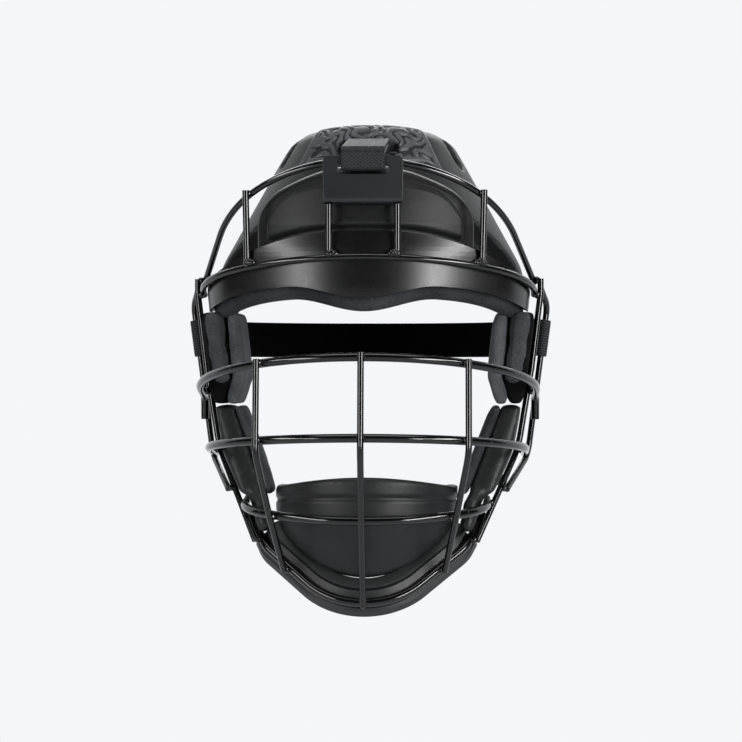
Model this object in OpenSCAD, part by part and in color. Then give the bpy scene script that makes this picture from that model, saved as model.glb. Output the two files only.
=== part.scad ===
// Wire face mask for field hockey: a welded cage of bent wire, a moulded brow band and
// chin guard, foam pads, and a crown pad held by a top strap and an elastic.
// The front of the mask faces -Y and +Z is up. The origin is the middle of the head
// opening, at eye level between the two side wires.

/* [Wires] */
// Diameter of the two face bars, the chin bar and the bottom bar
bar_d = 5; // [4.4:0.1:5.2]
// Diameter of the uprights, the side wires and the forehead wires
wire_d = 3.8; // [3.4:0.1:4]
// Gap left for the weld between two wires that cross
weld_gap = 0.12; // [0.08:0.02:0.2]
// Radius of the bends in the side wires
side_bend_r = 34; // [24:1:44]
// Height of the cut top end of the side wires
side_top_z = 32.6; // [31:0.2:35]
// Half the distance between the side wires at their top ends
side_top_x = 102.4; // [101.8:0.1:103]

/* [Face bars] */
// Distance of the upper face bar in front of the side plane
upper_bar_y = 105; // [101:0.5:107]
// Height of the upper face bar at the middle
upper_bar_z = -14.6; // [-17:0.2:-13]
// Fall of the upper face bar towards the sides, in degrees
upper_bar_fall = 11.9; // [10:0.1:13]
// Distance of the lower face bar in front of the side plane
lower_bar_y = 110; // [107:0.5:113]
// Height of the lower face bar at the middle
lower_bar_z = -59.8; // [-61:0.2:-56]
// Fall of the lower face bar towards the sides, in degrees
lower_bar_fall = 5.85; // [5:0.1:8]
// Length of the tails that turn down along the strap wires
bar_tail = 9; // [7:0.5:11]

/* [Chin bars] */
// Distance of the chin bar in front of the side plane
chin_bar_y = 98; // [95:0.5:100]
// Height of the chin bar at the middle
chin_bar_z = -106.6; // [-108:0.2:-105]
// Rise of the chin bar towards the sides, in degrees
chin_bar_rise = 7.4; // [6:0.1:9]
// Distance of the bottom bar in front of the side plane
bottom_bar_y = 79; // [77.5:0.5:80]
// Height of the bottom bar at the middle
bottom_bar_z = -154.2; // [-156:0.2:-153]
// Rise of the bottom bar towards the sides, in degrees
bottom_bar_rise = 46; // [45:0.1:47]

/* [Forehead wires] */
// Distance of the top arc in front of the side plane
top_arc_y = 78; // [76:0.5:80]
// Height of the top arc at the middle
top_arc_z = 97.9; // [97:0.1:99]
// Distance of the brow wire in front of the side plane
brow_wire_y = 82; // [81:0.5:84]
// Height of the brow wire at the middle
brow_wire_z = 42.5; // [41.5:0.1:43.5]
// Distance of the two outer face uprights from the middle, above the chin bar
face_upright_x = 57.5; // [55:0.5:60]
// Distance of the outer forehead uprights from the middle
outer_upright_x = 67.8; // [64:0.5:70]
// Distance of the inner forehead uprights from the middle
inner_upright_x = 19.6; // [18:0.2:20.5]

/* [Strap plate] */
// Width of the strap plate
plate_w = 45.5; // [44:0.5:48]
// Height of the strap plate
plate_h = 27.4; // [26:0.2:29]
// Thickness of the strap plate
plate_t = 2; // [1.6:0.1:2.4]
// Depth of the lip along the lower edge of the plate
plate_lip = 5.5; // [5:0.1:6.5]
// Width of the slot in the plate
slot_w = 28.7; // [28:0.1:31]
// Height of the slot in the plate
slot_h = 6.4; // [6:0.1:7]
// Height of the bar that is left above the slot
slot_bar = 4.2; // [3.8:0.1:4.6]

/* [Straps] */
// Width of the top strap
top_strap_w = 25; // [22:0.5:26]
// Thickness of one layer of the top strap
top_strap_t = 1.5; // [1.2:0.1:1.6]
// Width of the elastic and of the side loops
elastic_w = 22; // [20:0.5:24]
// Thickness of the elastic
elastic_t = 1.8; // [1.4:0.1:2]
// Clearance of a strap to what it passes round or through
strap_gap = 0.4; // [0.3:0.05:0.5]

/* [Brow] */
// Thickness of the moulded brow band
brow_t = 3; // [2.6:0.1:3.4]
// Height of the upper edge of the brow band at the middle
brow_top_z = 57.5; // [56:0.5:59]
// Height of the lower edge of the brow band beside the nose
brow_edge_z = 26.5; // [25:0.5:28]
// Dip of the lower edge of the brow band at the middle
brow_dip = 7.5; // [6:0.5:9]
// Thickness of the foam lining behind the brow band
lining_t = 10; // [8:0.5:11]
// Drop of the lining below the edge of the brow band
lining_drop = 7.3; // [6:0.1:7.5]

/* [Pads] */
// Thickness of the forehead pad
forehead_pad_t = 13; // [11:0.5:14]
// Height of the raised panel on the forehead pad
panel_rise = 1.6; // [1:0.1:2]
// Height of the top of the temple pads
temple_top_z = 12.4; // [11:0.2:12.6]
// Height of the bottom of the temple pads
temple_bottom_z = -42; // [-42.2:0.1:-41.8]
// Depth of the temple pads from front to back
temple_depth = 50; // [44:1:52]
// Distance of the inner face of the temple pads from the middle
temple_inner = 72.9; // [72.5:0.1:73.3]
// Thickness of the temple pads
temple_t = 7.4; // [7:0.1:8]
// Distance of the outer face of the side pads from the middle
side_outer = 94.8; // [93.5:0.1:94.8]
// Distance of the inner face of the cheek pads from the middle, at their top
cheek_inner = 73.4; // [73.2:0.1:74]
// Thickness of the cheek pads
cheek_t = 5.3; // [4.8:0.1:6]
// Height of the lower end of the cheek pads
cheek_bottom_z = -94.5; // [-94.8:0.1:-93]
// Gap between a soft pad and its neighbours
pad_gap = 0.4; // [0.3:0.05:0.6]

/* [Chin] */
// Height of the ledge of the chin guard at the middle
chin_ledge_z = -140.7; // [-142:0.1:-140]
// Height of the lower edge of the chin guard at the middle
chin_low_z = -162.6; // [-164:0.1:-161]
// Length of the straight ends of the chin guard
chin_guard_end = 7; // [5:0.5:9]
// Height of the upper edge of the chin pad
chin_pad_top_z = -82.5; // [-86:0.5:-82]
// Thickness of the chin pad
chin_pad_t = 9; // [8:0.5:10]
// Half of the width of the chin pad
chin_pad_half = 54; // [53:0.5:54]
// Height of the lower edge of the chin pad over the plane of the bottom bar
chin_pad_lift = 6.6; // [6.5:0.1:9]

/* [Crown pad] */
// Outer radius of the crown pad above the ears
crown_r = 92.5; // [91:0.5:94]
// Height of the top of the crown pad
crown_top_z = 125; // [123:0.5:127]
// Thickness of the crown pad
crown_t = 13; // [12:0.5:14]
// Thickness of its two wings, which the elastic runs through
wing_t = 8; // [7.5:0.5:9]
// Distance of the middle of the crown pad behind the side plane
crown_y = 30; // [29:0.5:31]
// Lean of the crown pad to the rear, in degrees
crown_lean = 8; // [7:0.5:9]
// Length of the vents in the crown pad
vent_l = 24; // [20:1:26]

/* [Hidden] */
$fn = 64;
// Colours of the wires, the mouldings, the foam, the lining and the webbing
wire_black = "#1b1b1c";
shell_black = "#232324";
foam_black = "#2c2c2d";
lining_grey = "#4a4a4a";
web_black = "#161616";

// How far a straight rod runs into the bend next to it, and how much thinner it is there
lap = 0.3;
lap_step = 0.08;
lap_scale = 0.998;
wire_slim = 0.98;
// Short straight stretch between two arcs of a path
joint = 0.4;
// Kinds of stretch in a path: straight, turned to the rear, turned down
LINE = 0;
TURN = 1;
DROP = 2;

function unit(v) = v / norm(v);
function angle_of(a, b) = acos(max(-1, min(1, unit(a) * unit(b))));
// Half-width that is left for a second arc which turns a path from angle a to 90 degrees
function second_r(half_w, r, a) = (half_w - r * sin(a)) / (1 - sin(a));
// Point on a polyline at height z
function on_wire(pts, z, i = 0) =
    (z >= pts[i + 1][2] || i == len(pts) - 2)
        ? pts[i] + (pts[i + 1] - pts[i]) * ((z - pts[i][2]) / (pts[i + 1][2] - pts[i][2]))
        : on_wire(pts, z, i + 1);
// Place [x, y, heading] on a flat path that starts at the front middle, at distance x
function along(path, x, i = 0, at = [0, 0, 0]) =
    let (s = path[i], h = at[2])
    s[0] == LINE
        ? ((x <= at[0] + s[1] * cos(h) || i == len(path) - 1)
            ? [x, at[1] + (x - at[0]) * tan(h), h]
            : along(path, x, i + 1, [at[0] + s[1] * cos(h), at[1] + s[1] * sin(h), h]))
        : let (e = at[0] + s[1] * (sin(h + s[2]) - sin(h)))
            (x <= e || i == len(path) - 1)
                ? let (g = asin(min(1, sin(h) + (x - at[0]) / s[1])))
                    [x, at[1] + s[1] * (cos(h) - cos(g)), g]
                : along(path, x, i + 1, [e, at[1] + s[1] * (cos(h) - cos(h + s[2])), h + s[2]]);
// Point on a tilted bar, off its centre line by out, at distance x from the middle
function on_bar(path, front, tilt, x, out = 0) =
    let (p = along(path, abs(x)),
        u = p[0] + out * sin(p[2]),
        v = p[1] - out * cos(p[2]))
    front + [sign(x) * u, v * cos(tilt), v * sin(tilt)];

module place(o, x, y, z) {
    multmatrix([
        [x[0], y[0], z[0], o[0]],
        [x[1], y[1], z[1], o[1]],
        [x[2], y[2], z[2], o[2]],
        [0, 0, 0, 1]
    ]) children();
}
module rod(a, b, d) {
    z = unit(b - a);
    x = unit(cross(abs(z[2]) < 0.9 ? [0, 0, 1] : [1, 0, 0], z));
    place(a, x, cross(z, x), z) cylinder(d = d, h = norm(b - a));
}
module bend(corner, before, after, r, d) {
    a = angle_of(before, after);
    n = unit(cross(before, after));
    start = corner - before * r * tan(a / 2);
    centre = start + cross(n, before) * r;
    place(centre, unit(start - centre), before, n)
        rotate_extrude(angle = a) translate([r, 0]) circle(d = d);
}
// A wire bent at each inner point of a list, as a wire bender makes it
module bent_wire(pts, radii, d) {
    last = len(pts) - 1;
    way = [for (i = [0:last - 1]) unit(pts[i + 1] - pts[i])];
    used = [
        for (i = [0:last])
            i == 0 || i == last ? 0 : radii[i] * tan(angle_of(way[i - 1], way[i]) / 2) - lap
    ];
    union() {
        for (i = [1:last - 1]) bend(pts[i], way[i - 1], way[i], radii[i], d);
        for (i = [0:last - 1])
            rod(pts[i] + way[i] * used[i], pts[i + 1] - way[i] * used[i + 1], d - lap_step);
    }
}
// A section swept along one side of a flat path, from its stretch i on
module run(path, i, slim) {
    s = path[i];
    more = i < len(path) - 1;
    if (s[0] == LINE) {
        rotate([90, 0, 90]) translate([0, 0, -lap]) linear_extrude(s[1] + (more ? 2 : 1) * lap)
            scale(slim) mirror([1, 0]) children();
        if (more) translate([s[1], 0, 0]) run(path, i + 1, slim) children();
    } else if (s[0] == TURN) {
        rotate([0, 0, -90]) translate([-s[1], 0, 0])
            rotate_extrude(angle = s[2]) translate([s[1], 0]) children();
        if (more)
            translate([0, s[1], 0]) rotate([0, 0, s[2]]) translate([0, -s[1], 0])
                run(path, i + 1, slim) children();
    } else {
        place([0, 0, -s[1]], [0, 0, 1], [1, 0, 0], [0, 1, 0])
            rotate_extrude(angle = s[2]) translate([s[1], 0]) children();
        if (more)
            translate([0, 0, -s[1]]) rotate([0, s[2], 0]) translate([0, 0, s[1]])
                run(path, i + 1, slim) children();
    }
}
// A section swept along a path that starts at the front middle with an arc
module sweep(path, front, tilt, slim = lap_scale) {
    r = path[0][1];
    a = path[0][2];
    translate(front) rotate([tilt, 0, 0]) translate([0, r, 0]) {
        rotate([0, 0, -90 - a]) rotate_extrude(angle = 2 * a) translate([r, 0]) children();
        for (side = [0, 1])
            mirror([side, 0, 0]) rotate([0, 0, a]) translate([0, -r, 0]) run(path, 1, slim) children();
    }
}
module both_sides(side) {
    if (side > 0) children();
    else mirror([1, 0, 0]) children();
}

// Centre lines of the side wires and of the wires that carry the side loops
side_wire = [
    [side_top_x, -7, side_top_z], [side_top_x, -7, 24], [97, -8, -20], [89, -11.5, -68],
    [64.6, -46.8, -121]
];
touch = wire_d + weld_gap;
bar_touch = (bar_d + wire_d) / 2 + weld_gap;
strap_low = on_wire(side_wire, -91);
strap_wire_bend = [95, 9.5, -73];
strap_wire = [
    [side_top_x, -7 + touch, side_top_z - 5], [106.8, 10, 17], strap_wire_bend,
    strap_low + unit(cross(strap_low - strap_wire_bend, side_wire[4] - side_wire[3])) * touch
];

// Flat paths of the bars, from the front middle to the right-hand end
upper_side = on_wire(side_wire, upper_bar_z - (upper_bar_y - 8) * tan(upper_bar_fall));
upper_half = upper_side[0] + bar_touch + 0.1;
upper_turn_r = 105;
upper_r2 = second_r(upper_half, upper_turn_r, 45);
upper_depth = upper_turn_r - (upper_turn_r - upper_r2) * cos(45);
tail_r = 6;
upper_leg = (upper_bar_y + 10 - bar_touch) / cos(upper_bar_fall) - upper_depth - tail_r;
upper_path = [
    [TURN, upper_turn_r, 45], [LINE, joint], [TURN, upper_r2, 45], [LINE, upper_leg], [DROP, tail_r, 75],
    [LINE, bar_tail]
];
lower_side = on_wire(side_wire, lower_bar_z - (lower_bar_y - 10) * tan(lower_bar_fall));
lower_half = lower_side[0] + bar_touch;
lower_turn_r = 100;
lower_r2 = second_r(lower_half, lower_turn_r, 45);
lower_depth = lower_turn_r - (lower_turn_r - lower_r2) * cos(45);
lower_leg = (lower_bar_y + 2.8) / cos(lower_bar_fall) - lower_depth;
lower_path = [[TURN, lower_turn_r, 45], [LINE, joint], [TURN, lower_r2, 45], [LINE, lower_leg]];
chin_side = on_wire(side_wire, -98);
chin_turn_r = 82;
chin_half = chin_side[0] - bar_touch * 1.15;
chin_r2 = second_r(chin_half, chin_turn_r, 45);
chin_depth = chin_turn_r - (chin_turn_r - chin_r2) * cos(45);
chin_leg = (chin_bar_y + chin_side[1] + bar_d / 2) / cos(chin_bar_rise) - chin_depth;
chin_path = [[TURN, chin_turn_r, 45], [LINE, joint], [TURN, chin_r2, 45], [LINE, chin_leg]];
bottom_path = [[TURN, 45, 47], [LINE, 31.5], [TURN, 25, 21], [LINE, 23.4]];
top_arc_fall = 42.2;
top_arc_path = [[TURN, 95, 35], [LINE, joint], [TURN, 83, 38], [LINE, 41.5]];
brow_fall = 14.4;
brow_half = on_wire(side_wire, 23.3)[0] - touch - 0.25;
brow_turn_r = 120.3;
brow_r2 = second_r(brow_half, brow_turn_r, 40);
brow_depth = brow_turn_r - (brow_turn_r - brow_r2) * cos(40);
brow_path = [
    [TURN, brow_turn_r, 40], [LINE, joint], [TURN, brow_r2, 50],
    [LINE, (brow_wire_y - 7) / cos(brow_fall) - brow_depth]
];

upper_front = [0, -upper_bar_y, upper_bar_z];
lower_front = [0, -lower_bar_y, lower_bar_z];
chin_front = [0, -chin_bar_y, chin_bar_z];
bottom_front = [0, -bottom_bar_y, bottom_bar_z];
top_arc_front = [0, -top_arc_y, top_arc_z];
brow_front = [0, -brow_wire_y, brow_wire_z];

// Direction of a tilted bar at distance x from the middle
function bar_way(path, tilt, x) =
    let (h = along(path, abs(x))[2] * sign(x)) [cos(h), sin(h) * cos(tilt), sin(h) * sin(tilt)];
// Point where a wire that runs along up lies in front of the bar, just touching it
function before_bar(path, front, tilt, x, up, gap) =
    let (n = unit(cross(bar_way(path, tilt, x), up)))
        on_bar(path, front, tilt, x) + n * (n[1] < 0 ? gap : -gap);
down_front = [0, 0.12, 1];
down_chin = [0, -0.25, 1];
down_bottom = [0, -0.42, 1];
function upright_points(upper_x, lower_x, chin_x, bottom_x) =
    let (u = before_bar(upper_path, upper_front, -upper_bar_fall, upper_x, down_front, bar_touch),
        l = before_bar(lower_path, lower_front, -lower_bar_fall, lower_x, down_front, bar_touch),
        c = before_bar(chin_path, chin_front, chin_bar_rise, chin_x, down_chin, bar_touch + 0.2),
        b = before_bar(bottom_path, bottom_front, bottom_bar_rise, bottom_x, down_bottom, bar_touch))
    [u + unit(u - l) * bar_d * 0.42, l + unit(l - u) * bar_d * 1.5, c, b];

// Points of a flat route with its inner corners turned, each with its direction
function turned(p, u, v, r, n) =
    let (a = angle_of(u, v), left = sign(u[0] * v[1] - u[1] * v[0]),
        start = p - u * r * tan(a / 2), c = start + [-u[1], u[0]] * left * r)
    [for (i = [0:n])
        let (g = left * a * i / n, d = start - c)
            [c[0] + d[0] * cos(g) - d[1] * sin(g), c[1] + d[0] * sin(g) + d[1] * cos(g),
                u[0] * cos(g) - u[1] * sin(g), u[0] * sin(g) + u[1] * cos(g)]];
function route(pts, radii, n = 8) =
    let (last = len(pts) - 1)
    [for (i = [0:last])
        let (u = unit(pts[max(i, 1)] - pts[max(i, 1) - 1]),
            v = unit(pts[min(i, last - 1) + 1] - pts[min(i, last - 1)]))
        for (q = i == 0 || i == last || radii[i] == 0
            ? [[pts[i][0], pts[i][1], u[0], u[1]]] : turned(pts[i], u, v, radii[i], n)) q];
function loop_route(pts, radii, n = 6) =
    let (count = len(pts))
    [for (i = [0:count - 1])
        let (u = unit(pts[i] - pts[(i + count - 1) % count]),
            v = unit(pts[(i + 1) % count] - pts[i]))
        for (q = turned(pts[i], u, v, radii[i], n)) q];
// Outline of a band along a route, reaching from offset a to offset b on its left
function offset_points(line, a) = [for (q = line) [q[0] - q[3] * a, q[1] + q[2] * a]];
function ribbon(line, a, b) =
    let (other = offset_points(line, b))
    concat(offset_points(line, a), [for (i = [len(other) - 1:-1:0]) other[i]]);

// A flat shape in Y and Z extruded along X, and one in X and Z extruded along Y
module along_x(x0, x1) translate([x0, 0, 0]) rotate([90, 0, 90]) linear_extrude(x1 - x0) children();
module along_y(y0, y1) translate([0, y1, 0]) rotate([90, 0, 0]) linear_extrude(y1 - y0) children();
// Rectangle with round corners, centred
module rounded(w, h, r) {
    square([w, h - 2 * r], center = true);
    square([w - 2 * r, h], center = true);
    for (x = [-1, 1], y = [-1, 1])
        translate([x * (w / 2 - r), y * (h / 2 - r)]) circle(r);
}
// A soft slab: each corner is [inner x, outer x, y, z], and its crown is a list of balls
module slab(corners, crown) {
    hull() {
        for (c = corners, x = [c[0] + slab_edge, c[1] - slab_edge])
            translate([x, c[2], c[3]]) sphere(slab_edge, $fn = 16);
        for (b = crown) translate([b[0], b[1], b[2]]) sphere(b[3], $fn = 20);
    }
}

// Where the strap plate, the strap and the crown pad meet
plate_top = top_arc_z + wire_d / 2 + 0.2;
plate_back = -(top_arc_y + wire_d / 2 + weld_gap);
plate_mid = plate_back - plate_t / 2;
plate_low = plate_top - plate_h;
slot_top = plate_top - slot_bar;
crown_bar_d = 4;
crown_bar_at = [-4.5, 107];
layer = top_strap_t / 2;
strap_front = plate_back - plate_t - strap_gap - layer;
strap_rear = -top_arc_y + wire_d / 2 + 0.9 + strap_gap + layer;
strap_bottom = slot_top - strap_gap - layer;
strap_loop = [
    [strap_front, plate_top + 1.5], [-9.5, 115.6], [0.31, 107], [-4.9, 102.1], [-12.8, 112.4],
    [strap_rear, plate_top + 1.5], [strap_rear, strap_bottom],
    [strap_front, strap_bottom]
];

// The brow band and its lining
band_front = brow_wire_y - wire_d / 2 - 0.25;
band_half = brow_half - wire_d / 2 - 0.4;
band_turn_r = brow_turn_r - wire_d / 2 - 0.4;
band_leg = 12;
function band_path(inset) =
    [[TURN, band_turn_r - inset, 40], [LINE, joint],
        [TURN, second_r(band_half, band_turn_r, 40) - inset, 50], [LINE, band_leg]];
function brow_edge(x) =
    brow_edge_z - (abs(x) < 44 ? brow_dip * (1 + cos(x * 180 / 44)) / 2 : 0)
    - 14 * pow(abs(x) / band_half, 4);
function brow_top(x) = brow_top_z - 30 * pow(abs(x) / (band_half + 3), 2.5);
module brow_view(drop, top_drop) {
    half = band_half + 8;
    step = half / 26;
    polygon(concat(
        [for (x = [-half:step:half + 0.01])
            [x, brow_edge(x) - drop * (1 - 0.65 * min(1.3, pow(abs(x) / 90, 10)))]],
        [for (x = [half:-step:-half - 0.01]) [x, max(brow_top(x) - top_drop, brow_edge(x) + 6)]]
    ));
}

// The crown pad, seen from the side it leans back about the elastic
crown_line = route(
    [
        [crown_r, -24], [crown_r, 12], [crown_r, crown_top_z - 87],
        [crown_r - 43, crown_top_z - 6.5], [22, crown_top_z], [0, crown_top_z]
    ], [0, 0, 25, 16, 40, 0], 6);
crown_outline = concat(offset_points(crown_line, 0), [
    for (i = [len(crown_line) - 1:-1:0])
        let (q = crown_line[i], t = q[1] < 20 ? wing_t : crown_t)
            [max(0, q[0] - q[3] * t), q[1] + q[2] * t]
]);
strap_z = -2.6;
strap_r = crown_r - wing_t / 2;
wing_front = 25;
wing_rear = 47;
module crown_lean_back()
    translate([0, crown_y, strap_z]) rotate([-crown_lean, 0, 0]) translate([0, 0, -strap_z])
        children();

// The chin pad
chin_axis_y = -34;
chin_outline = route([
    [chin_pad_half - 16, bottom_bar_z + 2], [chin_pad_half - 11, bottom_bar_z + 18],
    [chin_pad_half, chin_bar_z - 3.4], [chin_pad_half, chin_pad_top_z + 2]
], [0, 20, 20, 0], 4);

module top_arc_wire()
    color(wire_black) sweep(top_arc_path, top_arc_front, -top_arc_fall, wire_slim) circle(d = wire_d);
module brow_wire()
    color(wire_black) sweep(brow_path, brow_front, -brow_fall, wire_slim) circle(d = wire_d);
module upper_face_bar()
    color(wire_black) sweep(upper_path, upper_front, -upper_bar_fall, wire_slim) circle(d = bar_d);
module lower_face_bar()
    color(wire_black) sweep(lower_path, lower_front, -lower_bar_fall, wire_slim) circle(d = bar_d);
module chin_bar()
    color(wire_black) sweep(chin_path, chin_front, chin_bar_rise, wire_slim) circle(d = bar_d);
module bottom_bar()
    color(wire_black) sweep(bottom_path, bottom_front, bottom_bar_rise, wire_slim) circle(d = bar_d);

module centre_upright()
    color(wire_black) bent_wire(upright_points(0, 0, 0, 0), [0, 26, 26, 0], wire_d);
module face_upright(side)
    color(wire_black) both_sides(side)
        bent_wire(upright_points(face_upright_x, face_upright_x, face_upright_x - 7.5,
            face_upright_x - 14.5), [0, 26, 26, 0], wire_d);
module forehead_upright(side) {
    top = before_bar(top_arc_path, top_arc_front, -top_arc_fall, outer_upright_x - 1.6,
        [0, 0.2, 1], touch + 0.05);
    foot = on_bar(brow_path, brow_front, -brow_fall, outer_upright_x)
        + [0, 0, wire_d / 2 + weld_gap + 0.4];
    color(wire_black) both_sides(side) rod(foot, top + unit(top - foot) * 1.4, wire_d);
}
module middle_forehead_upright(side) {
    foot = on_bar(brow_path, brow_front, -brow_fall, inner_upright_x)
        + [0, 0, wire_d / 2 + weld_gap + 0.1];
    top = [inner_upright_x, plate_back + plate_lip / 2 - 0.6, plate_low - weld_gap];
    color(wire_black) both_sides(side) rod(foot, [top[0], foot[1], top[2]], wire_d);
}
module side_wire_bent(side)
    color(wire_black) both_sides(side)
        bent_wire(side_wire, [0, 40, 60, side_bend_r, 0], wire_d);
module strap_wire_bent(side)
    color(wire_black) both_sides(side) bent_wire(strap_wire, [0, 10, 14, 0], wire_d);

module strap_plate() {
    color(wire_black) difference() {
        intersection() {
            along_x(-plate_w / 2, plate_w / 2)
                polygon(ribbon(route([
                    [plate_mid, plate_top], [plate_mid, plate_low + plate_t / 2],
                    [plate_back - plate_t + plate_lip, plate_low + plate_t / 2]
                ], [0, 2.2, 0]), -plate_t / 2, plate_t / 2));
            along_y(plate_back - 10, plate_back + 10)
                translate([0, plate_low + plate_h / 2 - 5]) rounded(plate_w, plate_h + 10, 3.5);
        }
        along_y(plate_back - 10, plate_back + 1)
            translate([0, slot_top - slot_h / 2]) rounded(slot_w, slot_h, 2.6);
    }
}
module top_strap() {
    line = loop_route(strap_loop, [2, 3, 3.1, 3.1, 3, 3, 2, 2]);
    color(web_black) along_x(-top_strap_w / 2, top_strap_w / 2) difference() {
        polygon(offset_points(line, layer));
        polygon(offset_points(line, -layer));
    }
}

module brow_band() {
    color(shell_black) intersection() {
        sweep(band_path(0), [0, -band_front, 0], 0)
            polygon(ribbon(route([[-2.4, 2], [0, 24], [0, 46], [-2.8, 62]], [0, 60, 60, 0], 4),
                0, brow_t));
        along_y(-band_front - 5, 20) brow_view(0, 0);
    }
}
module brow_lining() {
    in = brow_t + pad_gap;
    color(lining_grey) intersection() {
        sweep(band_path(0), [0, -band_front, 0], 0)
            polygon(ribbon(route([[-2.6 - in, -4], [-in - 0.2, 24], [-in - 0.2, 46], [-3 - in, 62]],
                [0, 60, 60, 0], 4), 0, lining_t));
        along_y(-band_front - 5, 3) brow_view(lining_drop, 5);
    }
}
module forehead_pad() {
    low = brow_top_z - 12;
    r = 95;
    front = band_front - brow_t - pad_gap - 2.6;
    body = route([[r - 1, low], [r, low + 14], [r - 5, 90], [r - 10, 98]], [0, 40, 40, 0], 4);
    panel = route([[r - 1.2, low + 4], [r - 4, 85]], [0, 0]);
    color(foam_black) intersection() {
        translate([0, r - front, 0]) union() {
            rotate([0, 0, -90 - 43]) rotate_extrude(angle = 86)
                polygon(ribbon(body, 0, forehead_pad_t));
            rotate([0, 0, -90 - 37]) rotate_extrude(angle = 74)
                polygon(ribbon(panel, -panel_rise, 4));
        }
        along_y(-95, 20) polygon(concat(
            [for (x = [-75:5:75]) [x, brow_top(x) - 4.6]],
            [for (x = [75:-5:-75]) [x, 96.5 - 17 * pow(x / 60, 2)]]
        ));
    }
}

// The pads stand side by side from the face out to the side wires, and lean out upwards
temple_back = 17;
temple_front = temple_back - temple_depth;
slab_edge = 1.8;
pad_lean = 0.1;
side_lean = 0.135;
cheek_lean = 0.395;
bend_out = 5.6;
groove_w = 3.4;
panel_step = 4.5;
function temple_in(z) = temple_inner + (z + 14.5) * pad_lean;
function side_in(z) = temple_in(z) + temple_t + pad_gap;
function side_out(z) = side_outer + (z + 14.5) * side_lean;
function cheek_in(z) = cheek_inner + (z + 44) * cheek_lean;
temple_rows = [temple_top_z - slab_edge, temple_bottom_z + 15, temple_bottom_z + slab_edge];
temple_ends = [temple_front + slab_edge, temple_back - slab_edge];
cheek_top_z = temple_bottom_z - pad_gap - slab_edge;
cheek_low_z = cheek_bottom_z + slab_edge;
side_back = 7;
cheek_top_ends = [-23, 9];
cheek_low_ends = [-41, -16];
// A temple pad is bent outwards below its middle row
module temple_pad(side) {
    mid_x = temple_in(-8) + temple_t / 2;
    low_in = temple_in(temple_rows[2]) + bend_out;
    color(foam_black) both_sides(side) {
        slab([
            for (i = [0, 1], y = temple_ends)
                [temple_in(temple_rows[i]), temple_in(temple_rows[i]) + temple_t, y, temple_rows[i]]
        ], [for (y = [-18, 2], z = [-18, 0]) [mid_x - 0.3 + (z + 8) * pad_lean, y, z, temple_t / 2 + 0.2]]);
        slab(concat(
            [for (y = temple_ends)
                [temple_in(temple_rows[1]) + lap, temple_in(temple_rows[1]) + temple_t - lap,
                    y * 0.99, temple_rows[1] + 1]],
            [for (y = temple_ends) [low_in, low_in + temple_t, y, temple_rows[2]]]
        ), []);
    }
}
// A side pad is a flat base with a raised panel on its front
module side_pad(side) {
    base_front = temple_ends[0] + panel_step;
    low_in = side_in(temple_rows[2]) + bend_out;
    color(foam_black) both_sides(side) {
        slab(concat(
            [for (z = [temple_rows[0], temple_rows[2]], y = [base_front, side_back])
                [z == temple_rows[0] ? side_in(z) : low_in, side_out(z), y, z]],
            [for (y = [base_front, side_back])
                [side_in(temple_rows[1]), side_in(temple_rows[1]) + 5, y, temple_rows[1]]]
        ), []);
        slab([
            for (z = [temple_rows[0], temple_rows[1]], y = [temple_ends[0], base_front + 6])
                [side_in(z) + groove_w, side_out(z) - groove_w, y, z]
        ], []);
    }
}
module cheek_pad(side) {
    color(foam_black) both_sides(side) slab(concat(
        [for (y = cheek_top_ends) [cheek_in(cheek_top_z), cheek_in(cheek_top_z) + cheek_t, y, cheek_top_z]],
        [for (y = cheek_low_ends) [cheek_in(cheek_low_z), cheek_in(cheek_low_z) + cheek_t, y, cheek_low_z]]
    ), []);
}
module cheek_guard(side) {
    mid_z = -70;
    lobe = [[71, -9, -82, 4], [79.6, 4, -89, 4]];
    foot = [[67.2, -36.4, -88.4, 3.7], [60.6, -46.3, -100.6, 4.4], [59, -49, -112, 4.6]];
    color(foam_black) both_sides(side) {
        slab([], lobe);
        slab([], foot);
        slab(concat(
            [for (y = cheek_top_ends)
                [cheek_in(cheek_top_z) + cheek_t + pad_gap, 90.3, y, cheek_top_z]],
            [for (y = [-30, -2]) [cheek_in(mid_z) + cheek_t + pad_gap, 85.2, y, mid_z]],
            [for (y = cheek_low_ends)
                [cheek_in(cheek_low_z) + cheek_t + pad_gap, 74.2, y, cheek_low_z]]
        ), [[78, -27, -66, 6]]);
    }
}

module chin_pad() {
    color(foam_black) intersection() {
        translate([0, chin_axis_y, 0]) union() {
            rotate([0, 0, 180]) rotate_extrude(angle = 180)
                polygon(ribbon(chin_outline, 0, chin_pad_t));
            for (side = [-1, 1])
                both_sides(side) translate([0, 12, 0]) rotate([90, 0, 0])
                    linear_extrude(12 + lap) scale(lap_scale)
                        polygon(ribbon(chin_outline, 0, chin_pad_t));
        }
        translate(bottom_front) rotate([bottom_bar_rise, 0, 0]) translate([-100, -60, chin_pad_lift])
            cube([200, 200, 160]);
        along_y(-120, 20) polygon(concat(
            [[-70, -170], [70, -170]],
            [for (x = [70:-5:-70]) [x, chin_pad_top_z - 6 * pow(x / 52, 2)]]
        ));
    }
}
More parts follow.
